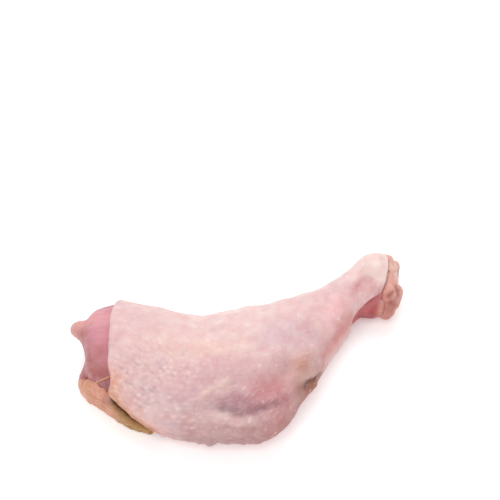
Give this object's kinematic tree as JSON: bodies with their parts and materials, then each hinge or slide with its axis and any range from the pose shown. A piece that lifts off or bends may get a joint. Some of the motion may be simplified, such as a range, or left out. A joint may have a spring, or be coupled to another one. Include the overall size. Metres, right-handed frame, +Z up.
{
  "type": "whole chicken leg",
  "caption": "Raw whole chicken leg, thigh and drumstick in one bent piece with the skin on, bare meat at the cut hip and a knuckle of bone at the hock.",
  "frame": {"origin": "middle of the leg's bounding box, on the board that it lies on", "axes": "+X from the cut hip to the hock, +Y from the knee to the back of the leg, +Z up through the skin side"},
  "size_m": [0.2072, 0.1396, 0.0386],
  "materials": {
    "meat": "moist raw muscle, pink to mauve",
    "skin": "moist pale pink skin with goose bumps",
    "bone": "moist cartilage, tan pink with red spots",
    "fat": "moist salmon fat and olive-tan skin"
  },
  "bodies": {
    "root": {"meat": "meat", "skin": "skin", "drumstick_bone": "bone", "fat_flap": "fat"}
  },
  "joints": []
}
